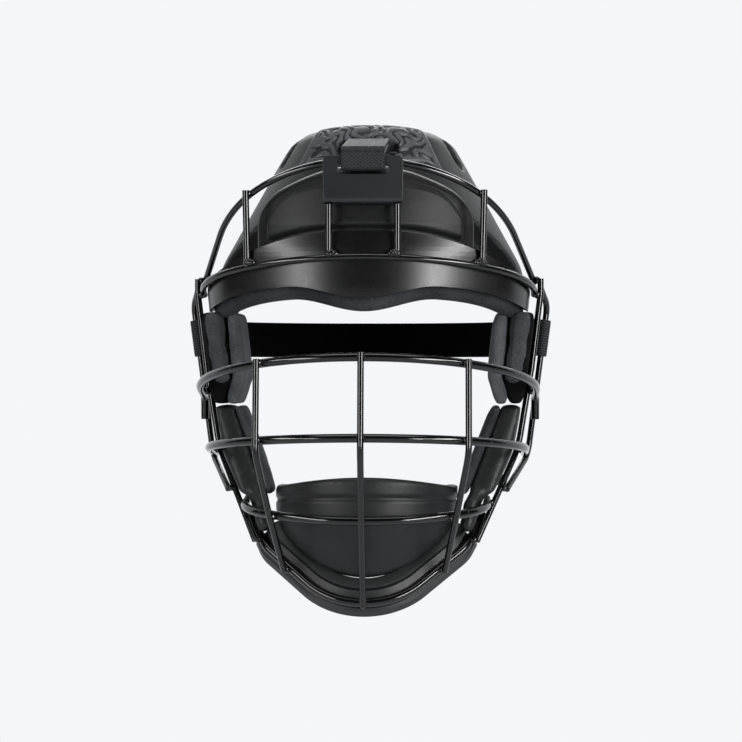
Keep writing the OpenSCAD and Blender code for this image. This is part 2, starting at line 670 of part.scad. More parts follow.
// Point of the guard's section, given by its place at the middle of the mask
function guard_point(y, z) =
    let (d = [y + bottom_bar_y, z - bottom_bar_z])
    [-d[0] * cos(bottom_bar_rise) - d[1] * sin(bottom_bar_rise),
        -d[0] * sin(bottom_bar_rise) + d[1] * cos(bottom_bar_rise)];
module chin_guard() {
    path = [bottom_path[0], bottom_path[1], bottom_path[2], [LINE, chin_guard_end]];
    behind = -bottom_bar_y + bar_d / 2 + 0.3;
    color(shell_black) sweep(path, bottom_front, bottom_bar_rise) polygon([
        guard_point(-74.2, chin_ledge_z), guard_point(-75, chin_ledge_z),
        guard_point(-78.2, chin_ledge_z - 4.4), guard_point(-77.9, chin_ledge_z - 5.3),
        guard_point(behind, chin_ledge_z - 7), guard_point(behind, bottom_bar_z),
        guard_point(-77.4, bottom_bar_z - 3.4), guard_point(-77.2, bottom_bar_z - 5.4),
        guard_point(-74.6, chin_low_z), guard_point(-66, chin_low_z - 0.8),
        guard_point(-66, chin_low_z + 2.2), guard_point(-71.6, chin_low_z + 3.6),
        guard_point(-73, bottom_bar_z), guard_point(-72, chin_ledge_z)
    ]);
}

module crown_pad() {
    color(foam_black) difference() {
        intersection() {
            crown_lean_back() rotate_extrude() polygon(crown_outline);
            along_x(-crown_r - 5, crown_r + 5) polygon([
                [-34, 96], [wing_front, 20], [wing_front + 2, -16], [wing_rear - 2, -16],
                [wing_rear + 2, 27], [150, 27], [150, 140], [-34, 140]
            ]);
        }
        // Pocket of the strap's bar and the mouth that the strap goes in by
        translate([-18, crown_bar_at[0], crown_bar_at[1]]) rotate([0, 90, 0]) cylinder(r = 5, h = 36);
        along_x(-17.2, 17.2) polygon([
            [-0.2, 108.5], [-7.2, 119], [-20, 119], [-20, 109], [-9.2, 104.4], [-9.2, 94], [0, 94]
        ]);
        // Tunnels of the elastic
        translate([0, crown_y, strap_z - elastic_w / 2 - strap_gap]) difference() {
            cylinder(r = strap_r + elastic_t / 2 + strap_gap, h = elastic_w + 2 * strap_gap);
            translate([0, 0, -1])
                cylinder(r = strap_r - elastic_t / 2 - strap_gap, h = elastic_w + 2 * strap_gap + 2);
        }
        // Vents down the shoulders
        crown_lean_back() for (side = [-1, 1], turn = [24, -12, -48])
            both_sides(side) rotate([0, 0, -turn])
                translate([crown_r - 38, 0, crown_top_z - 16]) rotate([0, 52, 0])
                    translate([0, 0, -15]) linear_extrude(40) rounded(vent_l, 6.5, 3.2);
    }
}
module crown_bar()
    color(shell_black) translate([-17, crown_bar_at[0], crown_bar_at[1]]) rotate([0, 90, 0])
        cylinder(d = crown_bar_d, h = 34);

// The side loops go round the strap wires and are sewn to the ends of the elastic
loop_at = on_wire(strap_wire, strap_z);
wire_way = unit(strap_wire[1] - strap_wire[2]);
loop_end = [strap_r, wing_front - 3, strap_z];
loop_way = unit(cross(cross(wire_way, loop_end - loop_at), wire_way));
loop_reach = 11;
loop_t = 1.2;
module side_loop(side) {
    r = wire_d / 2 + strap_gap;
    color(web_black) both_sides(side) place(loop_at - wire_way * elastic_w / 2, loop_way,
        cross(wire_way, loop_way), wire_way) linear_extrude(elastic_w) difference() {
            union() {
                circle(r + loop_t);
                translate([0, -1.8]) square([loop_reach, 3.6]);
            }
            circle(r);
        }
}
module rear_strap() {
    start = loop_at + unit(loop_end - loop_at) * (loop_reach + 1.6);
    line = route([
        [start[0], start[1]], [strap_r, wing_front - 3], [strap_r, crown_y + strap_r],
        [-strap_r, crown_y + strap_r], [-strap_r, wing_front - 3], [-start[0], start[1]]
    ], [0, 10, strap_r, strap_r, 10, 0], 14);
    color(web_black) translate([0, 0, strap_z - elastic_w / 2]) linear_extrude(elastic_w)
        polygon(ribbon(line, -elastic_t / 2, elastic_t / 2));
}

top_arc_wire();
brow_wire();
upper_face_bar();
lower_face_bar();
chin_bar();
bottom_bar();
centre_upright();
face_upright(-1);  // left_upright
face_upright(1);  // right_upright
forehead_upright(-1);  // left_forehead_upright
forehead_upright(1);  // right_forehead_upright
middle_forehead_upright(-1);  // left_middle_forehead_upright
middle_forehead_upright(1);  // right_middle_forehead_upright
side_wire_bent(-1);  // left_side_wire
side_wire_bent(1);  // right_side_wire
strap_wire_bent(-1);  // left_strap_wire
strap_wire_bent(1);  // right_strap_wire
strap_plate();
brow_band();
brow_lining();
forehead_pad();
temple_pad(-1);  // left_temple_pad
temple_pad(1);  // right_temple_pad
side_pad(-1);  // left_side_pad
side_pad(1);  // right_side_pad
cheek_pad(-1);  // left_cheek_pad
cheek_pad(1);  // right_cheek_pad
cheek_guard(-1);  // left_cheek_guard
cheek_guard(1);  // right_cheek_guard
chin_pad();
chin_guard();
top_strap();
crown_pad();
crown_bar();
rear_strap();
side_loop(-1);  // left_side_loop
side_loop(1);  // right_side_loop
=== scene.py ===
import math

import bmesh
import bpy
import numpy as np
from mathutils import Matrix, Vector, noise
from mathutils.bvhtree import BVHTree


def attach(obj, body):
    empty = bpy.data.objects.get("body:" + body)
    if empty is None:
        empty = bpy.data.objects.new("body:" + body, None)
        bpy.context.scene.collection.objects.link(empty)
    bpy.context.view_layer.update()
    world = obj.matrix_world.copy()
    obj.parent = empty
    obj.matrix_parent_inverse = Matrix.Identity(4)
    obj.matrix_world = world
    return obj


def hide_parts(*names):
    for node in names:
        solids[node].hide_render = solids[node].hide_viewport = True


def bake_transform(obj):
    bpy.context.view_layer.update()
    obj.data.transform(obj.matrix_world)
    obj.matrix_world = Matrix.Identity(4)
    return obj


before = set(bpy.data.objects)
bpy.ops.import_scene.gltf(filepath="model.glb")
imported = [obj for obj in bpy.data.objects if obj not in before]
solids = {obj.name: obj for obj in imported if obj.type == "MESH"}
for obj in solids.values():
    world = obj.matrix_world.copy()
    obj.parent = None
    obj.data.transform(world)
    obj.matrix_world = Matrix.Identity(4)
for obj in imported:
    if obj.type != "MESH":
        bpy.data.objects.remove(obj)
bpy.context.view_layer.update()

# ---- Cage wires ----
# The cage is spring-steel rod, bent cold and resistance-welded where it crosses.
# The face bars are 5 mm rod and all the others 3.8 mm. It is powder-coated after welding.

MM = 0.001


def linear(code):
    """Linear colour of an sRGB hex value."""
    parts = [int(code[i:i + 2], 16) / 255 for i in (1, 3, 5)]
    return [c / 12.92 if c <= 0.04045 else ((c + 0.055) / 1.055) ** 2.4 for c in parts] + [1.0]


def add_node(tree, kind, inputs=None, **settings):
    """Adds a node with its settings; an input that is a socket is linked, any other is set."""
    node = tree.nodes.new(kind)
    for name, value in settings.items():
        setattr(node, name, value)
    for name, value in (inputs or {}).items():
        if isinstance(value, bpy.types.NodeSocket):
            tree.links.new(value, node.inputs[name])
        else:
            node.inputs[name].default_value = value
    return node


def new_material(name, **finish):
    """A material of one principled surface with its finish set, and its tree and surface node."""
    material = bpy.data.materials.new(name)
    material.use_nodes = True
    tree = material.node_tree
    surface = tree.nodes["Principled BSDF"]
    for socket, value in finish.items():
        surface.inputs[socket.replace("_", " ")].default_value = value
    return material, tree, surface


def powder_coat(name, dark, light, roughness, peel_mm, edge_mm):
    """Black polyester powder coat: fine orange peel, a gloss that drifts a little over its length,
    and edges that shine because the coat rounds them."""
    material, tree, surface = new_material(name, IOR=1.48, Coat_Weight=0.2, Coat_Roughness=0.06)
    edge = add_node(tree, "ShaderNodeBevel", {"Radius": edge_mm * MM}, samples=10)
    place = add_node(tree, "ShaderNodeTexCoord").outputs["Object"]
    drift = add_node(tree, "ShaderNodeTexNoise", {"Vector": place, "Scale": 1 / 0.035, "Detail": 3.0})
    peel = add_node(
        tree, "ShaderNodeTexNoise", {"Vector": place, "Scale": 1 / (peel_mm * MM), "Detail": 2.0})
    colour = add_node(tree, "ShaderNodeMix", {
        0: drift.outputs["Fac"], 6: linear(dark), 7: linear(light)}, data_type="RGBA")
    gloss = add_node(tree, "ShaderNodeMapRange", {
        0: drift.outputs["Fac"], 3: roughness * 0.75, 4: roughness * 1.3})
    bump = add_node(tree, "ShaderNodeBump", {
        "Height": peel.outputs["Fac"], "Strength": 0.03, "Distance": 0.0001,
        "Normal": edge.outputs[0]})
    tree.links.new(colour.outputs[2], surface.inputs["Base Color"])
    tree.links.new(gloss.outputs[0], surface.inputs["Roughness"])
    tree.links.new(bump.outputs[0], surface.inputs["Normal"])
    return material


def dress(names, material):
    """Gives carried-over solids their finish."""
    for name in names:
        solids[name].data.materials.clear()
        solids[name].data.materials.append(material)


# On rod the coat is jet black, with a thin bright line down each side of a wire.
coated_rod = powder_coat("powder coat gloss black", "#010101", "#040405", 0.12, 2.2, 0.3)
face_bars = ["upper_face_bar", "lower_face_bar", "chin_bar", "bottom_bar"]
uprights = ["left_upright", "centre_upright", "right_upright"]
forehead_wires = [
    "top_arc_wire", "brow_wire", "left_forehead_upright", "left_middle_forehead_upright",
    "right_middle_forehead_upright", "right_forehead_upright"]
side_wires = ["left_side_wire", "right_side_wire", "left_strap_wire", "right_strap_wire"]
dress(face_bars + uprights + forehead_wires + side_wires, coated_rod)

# ---- Welds ----
# Where two rods cross, the weld squeezes a small collar of steel out of the joint.
# The powder coat runs over it, so it shows as a soft lump in the corners of the crossing.

weld_r = 1.75 * MM
foot_r = 1.9 * MM
foot_beads = ((-1.6, 0.1), (0, 0.6), (1.6, 0.1))  # three across each foot, in mm
lumps_per_metre = 420.0
lump_height = 0.9 * MM
crossings = [
    (upright, bar) for upright in uprights for bar in face_bars
] + [
    (f"{side}_side_wire", bar) for side in ("left", "right")
    for bar in face_bars + ["top_arc_wire", "brow_wire"]
] + [
    (f"{side}_strap_wire", f"{side}_side_wire") for side in ("left", "right")
] + [
    (f"{side}_forehead_upright", "top_arc_wire") for side in ("left", "right")
]
feet = [
    (f"{side}_{place}", "brow_wire") for side in ("left", "right")
    for place in ("forehead_upright", "middle_forehead_upright")]


def meeting_point(one, other):
    """Middle of the shortest line between two solids."""
    trees = []
    for name in (one, other):
        mesh = solids[name].data
        corners = [v.co for v in mesh.vertices]
        trees.append(BVHTree.FromPolygons(corners, [p.vertices for p in mesh.polygons]))
    corners = np.array([v.co for v in solids[one].data.vertices])
    steps = corners[:: max(1, len(corners) // 60)]
    start = min((Vector(c) for c in steps), key=lambda c: trees[1].find_nearest(c)[3])
    for _ in range(40):
        there = trees[1].find_nearest(start)[0]
        start = trees[0].find_nearest(there)[0]
    return (start + there) / 2


def new_tree(name, sockets):
    """A geometry tree with named inputs, and its input and output nodes."""
    tree = bpy.data.node_groups.new(name, "GeometryNodeTree")
    tree.interface.new_socket("Geometry", in_out="INPUT", socket_type="NodeSocketGeometry")
    for label, kind in sockets.items():
        tree.interface.new_socket(label, in_out="INPUT", socket_type="NodeSocket" + kind)
    tree.interface.new_socket("Geometry", in_out="OUTPUT", socket_type="NodeSocketGeometry")
    return tree, add_node(tree, "NodeGroupInput"), add_node(tree, "NodeGroupOutput")


def new_object(name, mesh):
    made = bpy.data.objects.new(name, mesh)
    bpy.context.scene.collection.objects.link(made)
    return made


def grow(name, seed_mesh, tree, sizes):
    """Runs a geometry tree on a mesh and keeps the result as a plain mesh."""
    seed = new_object(name + "_seed", seed_mesh)
    modifier = seed.modifiers.new("tree", "NODES")
    modifier.node_group = tree
    for item in tree.interface.items_tree:
        if item.item_type == "SOCKET" and item.in_out == "INPUT" and item.name in sizes:
            modifier[item.identifier] = sizes[item.name]
    graph = bpy.context.evaluated_depsgraph_get()
    made = bpy.data.meshes.new_from_object(seed.evaluated_get(graph), depsgraph=graph)
    bpy.data.objects.remove(seed)
    made.name = name
    return new_object(name, made)


bead_tree, given, result = new_tree(
    "weld beads", {"Radius": "Float", "Seed": "Int", "Finish": "Material"})
ball = add_node(bead_tree, "GeometryNodeMeshIcoSphere", {
    "Radius": given.outputs["Radius"], "Subdivisions": 4})
size = add_node(bead_tree, "FunctionNodeRandomValue", {
    "Min": (0.9, 0.9, 0.9), "Max": (1.2, 1.2, 1.05), "Seed": given.outputs["Seed"]},
    data_type="FLOAT_VECTOR")
beads = add_node(bead_tree, "GeometryNodeInstanceOnPoints", {
    "Points": given.outputs["Geometry"], "Instance": ball.outputs["Mesh"], "Scale": size.outputs[0]})
beads = add_node(bead_tree, "GeometryNodeRealizeInstances", {"Geometry": beads.outputs[0]})
spot = add_node(bead_tree, "GeometryNodeInputPosition")
lump = add_node(bead_tree, "ShaderNodeTexNoise", {
    "Vector": spot.outputs[0], "Scale": lumps_per_metre})
push = add_node(bead_tree, "ShaderNodeMath", {
    0: lump.outputs["Fac"], 1: lump_height}, operation="MULTIPLY")
out = add_node(bead_tree, "GeometryNodeInputNormal")
push = add_node(bead_tree, "ShaderNodeVectorMath", {
    0: out.outputs[0], "Scale": push.outputs[0]}, operation="SCALE")
beads = add_node(bead_tree, "GeometryNodeSetPosition", {
    "Geometry": beads.outputs[0], "Offset": push.outputs[0]})
beads = add_node(bead_tree, "GeometryNodeSetShadeSmooth", {"Geometry": beads.outputs[0]})
beads = add_node(bead_tree, "GeometryNodeSetMaterial", {
    "Geometry": beads.outputs[0], "Material": given.outputs["Finish"]})
bead_tree.links.new(beads.outputs[0], result.inputs[0])


def points_mesh(name, points, edges=()):
    mesh = bpy.data.meshes.new(name)
    mesh.from_pydata(points, edges, [])
    return mesh


weld_points = [meeting_point(*pair) for pair in crossings]
welds = grow("weld_beads", points_mesh("welds", weld_points), bead_tree, {
    "Radius": weld_r, "Seed": 3, "Finish": coated_rod})
foot_points = []
for pair in feet:
    middle = meeting_point(*pair)
    foot_points += [middle + Vector((dx, -0.4, dz)) * MM for dx, dz in foot_beads]
foot_welds = grow("forehead_upright_feet", points_mesh("feet", foot_points), bead_tree, {
    "Radius": foot_r, "Seed": 8, "Finish": coated_rod})
for piece in (welds, foot_welds):
    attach(piece, "cage")

# ---- Strap plate ----
# A 2 mm steel plate, stamped with its slot, bent forward at the foot and welded to the cage.
# Its flat face takes the same powder coat as the rods and shows its peel more.

# On flat plate the coat is drawn greyer than the same coat on the rods, a painted reflection of the
# pale room on its flat face; its edges catch the light.
plate_coat_painted_reflection = powder_coat("powder coat satin black on plate", "#121314", "#1c1d1f", 0.4, 2.4, 0.7)
dress(["strap_plate"], plate_coat_painted_reflection)

# ---- Brow band and chin guard ----
# Two injection-moulded shells, clipped behind the wires. The band is left glossy from a
# polished mould and the chin guard has the dull skin of a spark-eroded one.


def moulded_plastic(name, dark, light, roughness, grain_mm, grain):
    """Moulded plastic: an even colour, faint flow marks and the grain of its mould."""
    material, tree, surface = new_material(name, IOR=1.49)
    place = add_node(tree, "ShaderNodeTexCoord").outputs["Object"]
    flow = add_node(tree, "ShaderNodeTexNoise", {
        "Vector": place, "Scale": 1 / 0.05, "Detail": 2.0, "Distortion": 0.6})
    pits = add_node(tree, "ShaderNodeTexNoise", {
        "Vector": place, "Scale": 1 / (grain_mm * MM), "Detail": 4.0})
    colour = add_node(tree, "ShaderNodeMix", {
        0: flow.outputs["Fac"], 6: linear(dark), 7: linear(light)}, data_type="RGBA")
    gloss = add_node(tree, "ShaderNodeMapRange", {
        0: pits.outputs["Fac"], 3: roughness * 0.85, 4: roughness * 1.15})
    bump = add_node(tree, "ShaderNodeBump", {
        "Height": pits.outputs["Fac"], "Strength": grain, "Distance": 0.0001})
    tree.links.new(colour.outputs[2], surface.inputs["Base Color"])
    tree.links.new(gloss.outputs[0], surface.inputs["Roughness"])
    tree.links.new(bump.outputs[0], surface.inputs["Normal"])
    return material


# A polished mould leaves it near black, with broad soft patches of light on its bends.
gloss_shell = moulded_plastic(
    "moulded polypropylene gloss black", "#030304", "#070708", 0.29, 2.4, 0.03)
# A spark-eroded mould leaves it dull, a little greyer, and without clear reflections.
dull_shell = moulded_plastic(
    "moulded polypropylene satin grey-black", "#141516", "#1b1c1d", 0.45, 0.9, 0.3)
dress(["brow_band"], gloss_shell)
dress(["chin_guard"], dull_shell)

# ---- Brow lining ----
# A 10 mm strip of soft grey foam faced with brushed knit, stuck inside the brow band.
# It hangs a little below the band, so its round edge shows under the wave of the band.


def faced_foam(name, dark, light, roughness, nap_mm, nap, gleam, sheen):
    """Foam with a laminated face: a slightly patchy colour, a fine nap or grain, and soft sheen."""
    material, tree, surface = new_material(
        name, IOR=1.45, Specular_IOR_Level=gleam, Sheen_Weight=sheen, Sheen_Roughness=0.4,
        Sheen_Tint=linear("#8d9095"))
    place = add_node(tree, "ShaderNodeTexCoord").outputs["Object"]
    patch = add_node(tree, "ShaderNodeTexNoise", {"Vector": place, "Scale": 1 / 0.02, "Detail": 3.0})
    fibre = add_node(tree, "ShaderNodeTexNoise", {
        "Vector": place, "Scale": 1 / (nap_mm * MM), "Detail": 3.0, "Roughness": 0.65})
    mixed = add_node(tree, "ShaderNodeMath", {
        0: patch.outputs["Fac"], 1: fibre.outputs["Fac"]}, operation="MULTIPLY")
    mixed = add_node(tree, "ShaderNodeMapRange", {0: mixed.outputs[0], 1: 0.12, 2: 0.4})
    colour = add_node(tree, "ShaderNodeMix", {
        0: mixed.outputs[0], 6: linear(dark), 7: linear(light)}, data_type="RGBA")
    gloss = add_node(tree, "ShaderNodeMapRange", {
        0: fibre.outputs["Fac"], 3: roughness * 0.85, 4: min(1, roughness * 1.15)})
    bump = add_node(tree, "ShaderNodeBump", {
        "Height": fibre.outputs["Fac"], "Strength": nap, "Distance": 0.0003})
    tree.links.new(colour.outputs[2], surface.inputs["Base Color"])
    tree.links.new(gloss.outputs[0], surface.inputs["Roughness"])
    tree.links.new(bump.outputs[0], surface.inputs["Normal"])
    return material


def rows_over(low, high, rim, count):
    """Places from low to high, close together over each round rim, each with the rim's fullness."""
    rim = min(rim, (high - low) / 2.1)
    edge = [(rim * (1 - math.cos(t)), math.sin(t)) for t in np.radians(np.arange(6) * 15)]
    inner = [(rim + (high - low - 2 * rim) * i / count, 1.0) for i in range(count + 1)]
    return (
        [(low + e, s) for e, s in edge] + [(low + e, s) for e, s in inner]
        + [(high - e, s) for e, s in reversed(edge)])


def pad_mesh(name, place, reach, edges, thick, rim, relief, step=1.6):
    """A closed pad with round rims. place(a, b, depth) is a point of it in mm, reach its ends,
    edges(a) its lower and upper edge, and relief(a, b) how far its face stands proud."""
    columns = rows_over(reach[0], reach[1], rim, round((reach[1] - reach[0]) / step))
    tallest = max(edges(a)[1] - edges(a)[0] for a, _ in columns)
    front, back = [], []
    for a, side_full in columns:
        low, high = edges(a)
        for b, full in rows_over(low, high, rim, round(tallest / step)):
            full *= side_full
            sunk = rim * (1 - full)
            front.append(Vector(place(a, b, sunk - full * relief(a, b))) * MM)
            back.append(Vector(place(a, b, thick - sunk)) * MM)
    wide, tall = len(columns), len(front) // len(columns)
    other = len(front)
    faces = []
    for i in range(wide - 1):
        for j in range(tall - 1):
            p, q = i * tall + j, (i + 1) * tall + j
            faces += [(p, q, q + 1, p + 1), (other + p, other + p + 1, other + q + 1, other + q)]
    border = (
        [i * tall for i in range(wide)] + [(wide - 1) * tall + j for j in range(1, tall)]
        + [i * tall + tall - 1 for i in range(wide - 2, -1, -1)] + list(range(tall - 2, 0, -1)))
    for p, q in zip(border, border[1:] + border[:1]):
        faces.append((q, p, other + p, other + q))
    mesh = bpy.data.meshes.new(name)
    mesh.from_pydata(front + back, [], faces)
    return close_mesh(mesh)


def close_mesh(mesh, merge=0.00001):
    """Merges doubles, turns every face outwards and shades it smooth."""
    work = bmesh.new()
    work.from_mesh(mesh)
    bmesh.ops.remove_doubles(work, verts=work.verts, dist=merge)
    bmesh.ops.recalc_face_normals(work, faces=work.faces)
    work.to_mesh(mesh)
    work.free()
    mesh.shade_smooth()
    return mesh


def corner(gap, r):
    """How far an edge draws in at a distance gap from an end, for a corner of radius r."""
    return r - math.sqrt(max(0.0, r * r - (r - gap) ** 2)) if gap < r else 0.0


# The brow band in plan, in mm: two arcs and a straight leg on each side.
band_front, band_half = 79.85, 95.84
band_r, band_turn, band_r2 = 118.0, math.radians(40), 55.96
band_leg = 12.0
brow_edge_z, brow_edge_fall, wave_half, wave_drop = 26.5, 14, 44, 7.5
brow_top_z, brow_top_fall = 57.5, 30
lining_in, lining_t, lining_rim = 3.4, 10.0, 4.2
lining_drop = 7.3


def brow_edge(x):
    """Lower edge of the brow band, with the wave in its middle."""
    wave = wave_drop * (1 + math.cos(math.pi * x / wave_half)) / 2 if abs(x) < wave_half else 0
    return brow_edge_z - wave - brow_edge_fall * (abs(x) / band_half) ** 4


def brow_top(x):
    return brow_top_z - brow_top_fall * (abs(x) / (band_half + 3)) ** 2.5


def along_band(a, inset):
    """Plan place on the brow band at a distance a round it from the middle, set in by inset."""
    side, a = (1 if a >= 0 else -1), abs(a)
    first, second = band_r * band_turn, band_r2 * (math.pi / 2 - band_turn)
    turn = min(a / band_r, band_turn)
    x = (band_r - inset) * math.sin(turn)
    y = band_r - (band_r - inset) * math.cos(turn)
    if a > first:
        turn = min((a - first) / band_r2 + band_turn, math.pi / 2)
        x += (band_r2 - inset) * (math.sin(turn) - math.sin(band_turn))
        y += (band_r2 - inset) * (math.cos(band_turn) - math.cos(turn))
    return side * x, y - band_front + max(0.0, a - first - second)


def lining_place(a, z, depth):
    lean = 2.4 * max(0.0, (24 - z) / 28) ** 2 + 2.8 * max(0.0, (z - 46) / 16) ** 2
    return (*along_band(a, lining_in + 0.3 + lean + depth), z)


def lining_edges(a):
    x = along_band(a, lining_in)[0]
    low = brow_edge(x) - lining_drop
    gap = lining_reach - abs(a)
    return low + corner(gap, 3), max(brow_top(x) - 5, brow_edge(x) + 6) - corner(gap, 4)


# Brushed knit is matt and dark grey, with a short nap that is drawn coarser than it is.
brushed_knit = faced_foam("brushed knit grey", "#131415", "#38393b", 0.95, 0.9, 0.8, 0.3, 0.06)
lining_reach = band_r * band_turn + band_r2 * (math.pi / 2 - band_turn) + band_leg
brow_lining = new_object("brow_lining_foam", pad_mesh(
    "brow_lining_foam", lining_place, (-lining_reach, lining_reach), lining_edges, lining_t,
    lining_rim, lambda a, z: 0.25 * noise.noise(Vector((a, z, 0)) / 9)))
brow_lining.data.materials.append(brushed_knit)
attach(brow_lining, "cage")
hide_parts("brow_lining")

# ---- Forehead pad ----
# A 13 mm pad of closed-cell foam with a satin skin, pressed hot in a mould that raises one
# large panel on it. It stands behind the strap plate and rests on the top of the brow band.

# The hot mould leaves a closed black skin with a low satin gleam. Its real grain is about
# 0.3 mm, too fine to show, and is drawn at 0.7 mm.
pressed_skin = faced_foam(
    "pressed foam skin satin black", "#050506", "#0d0e0f", 0.45, 0.7, 0.4, 0.4, 0.02)
forehead_r, forehead_y = 95.0, 21.15
forehead_reach = math.radians(43) * forehead_r
panel_reach = math.radians(37) * forehead_r
forehead_t, forehead_rim, panel_rise = 13, 4.5, 2.0
forehead_heights = [40, 50, 62, 75, 84, 92, 98]
forehead_radii = [93.6, 94.6, 94.8, 92.6, 90.8, 88.8, 85]


def smooth_step(x):
    x = min(1.0, max(0.0, x))
    return x * x * (3 - 2 * x)


def forehead_place(a, z, depth):
    r = np.interp(z, forehead_heights, forehead_radii) - depth
    turn = a / forehead_r
    return r * math.sin(turn), forehead_y - r * math.cos(turn), z


def forehead_edges(a):
    x = forehead_r * math.sin(a / forehead_r)
    gap = forehead_reach - abs(a)
    return (
        brow_top(x) - 4.6 + corner(gap, 5),
        96.5 - 17 * (x / 60) ** 2 - corner(gap, 16))


def forehead_relief(a, z):
    """The raised panel, with a round shoulder all round and a wider slope along its foot."""
    x = forehead_r * math.sin(a / forehead_r)
    gap = panel_reach - abs(a)
    top = 88 - 0.0035 * x * x - corner(max(gap, 0), 20)
    foot = brow_top(x) + 1.0 + corner(max(gap, 0), 5)
    rise = min(smooth_step(gap / 2.6), smooth_step((top - z) / 2.6), smooth_step((z - foot) / 4.5))
    return panel_rise * rise + 0.12 * noise.noise(Vector((a, z, 3)) / 14)


forehead_pad = new_object("forehead_pad_foam", pad_mesh(
    "forehead_pad_foam", forehead_place, (-forehead_reach, forehead_reach), forehead_edges,
    forehead_t, forehead_rim, forehead_relief, 1.1))
forehead_pad.data.materials.append(pressed_skin)
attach(forehead_pad, "cage")
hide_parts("forehead_pad")

# ---- Temple, side and cheek pads ----
# Four pairs of knit-faced foam cushions. The inner ones lie against the face, and the outer
# ones stand between them and the side wires. Each is cut, wrapped and stitched shut.

# Fine knit laminated on foam: matt, with a faint pale sheen where it turns away. The temple cushions
# are drawn a lighter grey than the others. Stitches of 0.4 mm are too fine to show and are drawn at 0.8
# mm.
inner_knit = faced_foam("knit-faced foam mid grey", "#26272a", "#55565a", 0.85, 0.8, 0.6, 0.35, 0.12)
knit_face = faced_foam("knit-faced foam charcoal", "#1b1c1e", "#424345", 0.85, 0.8, 0.6, 0.35, 0.1)
cloth_moments = 20


def stuffed(name, node, voxel, pressure, cap):
    """A copy of a solid, remeshed and blown up as cloth, with no point moved further than cap."""
    mesh = solids[node].data.copy()
    close_mesh(mesh)
    made = new_object(name, mesh)
    made.data.materials.clear()
    remesh = made.modifiers.new("remesh", "REMESH")
    remesh.mode, remesh.voxel_size = "VOXEL", voxel
    ease = made.modifiers.new("ease", "SMOOTH")
    ease.factor, ease.iterations = 0.5, 2
    keep_result(made)
    start = corners_of(made.data)
    cloth = made.modifiers.new("cloth", "CLOTH")
    cloth.settings.use_pressure = True
    cloth.settings.uniform_pressure_force = pressure
    cloth.settings.effector_weights.gravity = 0
    cloth.settings.quality = 4
    cloth.collision_settings.use_collision = False
    cloth.point_cache.frame_start, cloth.point_cache.frame_end = 1, cloth_moments
    for moment in range(1, cloth_moments + 1):
        bpy.context.scene.frame_set(moment)
    keep_result(made)
    bpy.context.scene.frame_set(1)
    moved = corners_of(made.data) - start
    far = np.linalg.norm(moved, axis=1, keepdims=True)
    place_corners(made.data, start + moved * np.minimum(1, cap / np.maximum(far, 1e-9)))
    finer = made.modifiers.new("finer", "SUBSURF")
    finer.levels = finer.render_levels = 1
    keep_result(made)
    made.data.shade_smooth()
    return made


def keep_result(made):
    """Turns what an object's modifiers make into its mesh."""
    graph = bpy.context.evaluated_depsgraph_get()
    mesh = bpy.data.meshes.new_from_object(made.evaluated_get(graph), depsgraph=graph)
    made.modifiers.clear()
    made.data = mesh


def corners_of(mesh):
    flat = np.zeros(len(mesh.vertices) * 3)
    mesh.vertices.foreach_get("co", flat)
    return flat.reshape(-1, 3)


def place_corners(mesh, corners):
    mesh.vertices.foreach_set("co", corners.ravel())
    mesh.update()


# Moulded foam skin: satin black with a soft gleam along its bends.
pad_skin = faced_foam("moulded foam skin satin black", "#0a0b0c", "#161718", 0.46, 0.8, 0.4, 0.45, 0.04)
# Loop fabric on the backs of the outer cushions: deep black, without gleam.
backing_cloth = faced_foam("black loop fabric backing", "#030303", "#0d0d0e", 0.9, 1.1, 0.9, 0.1, 0.0)
cushion_pressure = 4
cushion_growth = 0.9 * MM
backing_y = -28.8 * MM  # a side pad shows its backing cloth behind this plane
cushions = {
    "temple_pad": (2.2, inner_knit), "side_pad": (1.6, knit_face),
    "cheek_pad": (2.0, knit_face), "cheek_guard": (2.2, pad_skin)}
for node, (voxel, face_fabric) in cushions.items():
    for side in ("left", "right"):
        cushion = stuffed(
            f"{side}_{node}_foam", f"{side}_{node}", voxel * MM, cushion_pressure, cushion_growth)
        cushion.data.materials.append(face_fabric)
        if node == "side_pad":
            cushion.data.materials.append(backing_cloth)
            for face in cushion.data.polygons:
                face.material_index = int(face.center.y > backing_y)
        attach(cushion, "cage")
        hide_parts(f"{side}_{node}")

# ---- Chin pad ----
# A cup of skinned foam, 9 mm thick, that holds the chin behind the two lowest bars.
# It is pressed with a crease across it, and its upper edge is wrapped.

chin_y, chin_r = -34.0, 50.0
chin_reach = 89.5
chin_heights = [-152, -136, -110, -82]
chin_widths = [38, 43, 54, 54]
chin_t, chin_rim = 9, 3.2
chin_top_z, chin_top_fall = -82.8, 6
# The pad's foot rests on the chin guard, whose plane slopes up and back from its front edge.
guard_slope, guard_front, guard_foot, guard_lift = math.radians(46), -79, -154.2, 7.2
crease_z, crease_depth = -94.5, 1.1


def chin_radius(z):
    return float(np.mean(np.interp(z + np.linspace(-7, 7, 9), chin_heights, chin_widths)))


def chin_place(a, z, depth):
    turn, r = min(abs(a) / chin_r, math.pi / 2), chin_radius(z) - depth
    straight = max(0.0, abs(a) - chin_r * math.pi / 2)
    return math.copysign(r * math.sin(turn), a), chin_y - r * math.cos(turn) + straight, z


def chin_edges(a):
    low = -130.0
    for _ in range(12):
        y = chin_place(a, low, 0)[1]
        rise = (guard_lift + (y - guard_front) * math.sin(guard_slope)) / math.cos(guard_slope)
        low = 0.5 * low + 0.5 * (guard_foot + rise)
    x = chin_place(a, -90, 0)[0]
    high = chin_top_z - chin_top_fall * (x / 52) ** 2
    return min(low, high - 3), high


def chin_relief(a, z):
    crease = crease_z - 2.0 * (a / 60) ** 2
    return (
        -crease_depth * math.exp(-((z - crease) / 1.3) ** 2) - 0.8
        + 0.15 * noise.noise(Vector((a, z, 7)) / 12))


